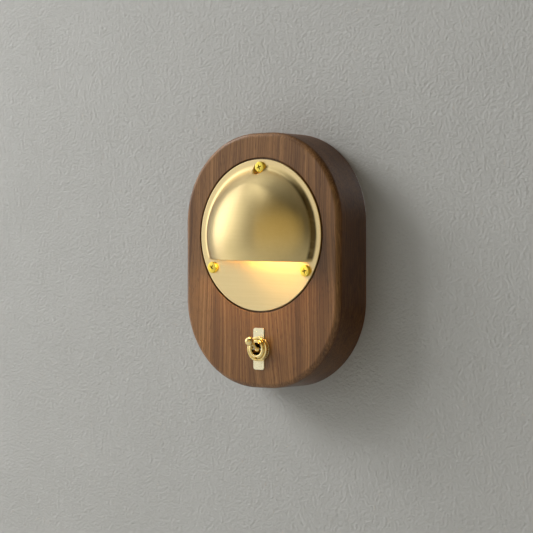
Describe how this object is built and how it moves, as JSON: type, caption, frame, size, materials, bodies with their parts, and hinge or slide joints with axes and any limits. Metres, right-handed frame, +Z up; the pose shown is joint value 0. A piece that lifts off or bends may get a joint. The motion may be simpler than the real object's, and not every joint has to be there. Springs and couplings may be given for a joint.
{
  "type": "wall light with toggle switch",
  "caption": "Walnut wall light with a flush round brass face, an eyelid hood that throws the light down, and a brass ball-end toggle switch below it.",
  "frame": {"origin": "centre of the back face, on the wall plane", "axes": "+X to the right seen from the front, +Y into the wall, +Z up; the front faces -Y"},
  "size_m": [0.122, 0.0545, 0.16],
  "materials": {
    "walnut": "oiled walnut, open straight vertical grain, satin",
    "brushed_brass": "finely brushed pale brass, satin lacquer",
    "polished_brass": "polished brass",
    "steel": "zinc-plated steel, satin",
    "copper": "bare copper alloy",
    "rubber": "black moulded rubber, matt",
    "aluminium": "die-cast aluminium, as cast",
    "white_board": "white solder mask over an aluminium core",
    "phosphor": "yellow phosphor over the LED chips",
    "frosted_lens": "frosted opal acrylic",
    "phenolic": "dark brown moulded phenolic",
    "nylon": "natural nylon",
    "white_plastic": "white moulded plastic, fine texture",
    "green_board": "green solder mask on glass-fibre board",
    "black_plastic": "black sleeve and tape",
    "live_brown": "brown wire insulation",
    "neutral_blue": "blue wire insulation",
    "earth_green": "green wire insulation",
    "led_red": "red silicone wire insulation",
    "led_black": "black silicone wire insulation"
  },
  "bodies": {
    "fixture": {"wood_housing": "walnut", "back_plate": "steel", "plate_screw_top_left": "steel", "plate_screw_top_right": "steel", "plate_screw_bottom_left": "steel", "plate_screw_bottom_right": "steel", "cable_grommet": "rubber", "earth_screw": "steel", "earth_lug": "copper", "face_disc": "brushed_brass", "hood": "brushed_brass", "face_screw_top": "polished_brass", "face_screw_left": "polished_brass", "face_screw_right": "polished_brass", "threaded_insert_top": "polished_brass", "threaded_insert_left": "polished_brass", "threaded_insert_right": "polished_brass", "lamp_can": "aluminium", "can_screw_left": "steel", "can_screw_right": "steel", "board_screw_left": "steel", "board_screw_right": "steel", "led_board": "white_board", "led_emitter": "phosphor", "diffuser_lens": "frosted_lens", "legend_plate": "polished_brass", "knurled_nut": "polished_brass", "bushing": "polished_brass", "lever_pin": "steel", "lock_washer": "steel", "switch_frame": "steel", "switch_case": "phenolic", "terminal_common": "copper", "terminal_load": "copper", "terminal_screw_common": "steel", "terminal_screw_load": "steel", "driver_case": "white_plastic", "driver_lid": "white_plastic", "driver_board": "green_board", "driver_transformer": "black_plastic", "driver_capacitor": "black_plastic", "driver_screw_left": "steel", "driver_screw_right": "steel", "terminal_block": "white_plastic", "clamp_screw_1": "steel", "clamp_screw_2": "steel", "clamp_screw_3": "steel", "block_screw": "steel", "live_wire": "live_brown", "switched_wire": "live_brown", "neutral_wire": "neutral_blue", "earth_wire": "earth_green", "led_wire_positive": "led_red", "led_wire_negative": "led_black"},
    "lever": {"toggle_lever": "polished_brass", "plunger_spring": "steel"},
    "plunger": {"plunger": "nylon"},
    "rocker": {"contact_rocker": "copper"}
  },
  "joints": [
    {"name": "lever_tilt", "type": "hinge", "parent": "fixture", "child": "lever", "pos_m": [0, -0.0315, -0.0554], "axis": [1, 0, 0], "range_deg": [0, 64]},
    {"name": "plunger_slide", "type": "slide", "parent": "lever", "child": "plunger", "axis": [0, -0.848, 0.5299], "range_m": [0, 0.0008], "stiffness_N_per_m": 400},
    {"name": "rocker_tilt", "type": "hinge", "parent": "fixture", "child": "rocker", "pos_m": [0, -0.0185, -0.0554], "axis": [1, 0, 0], "range_deg": [-18, 0]}
  ],
  "couplings": [
    {"joint": "rocker_tilt", "follows": "lever_tilt", "ratio": -0.28125}
  ]
}
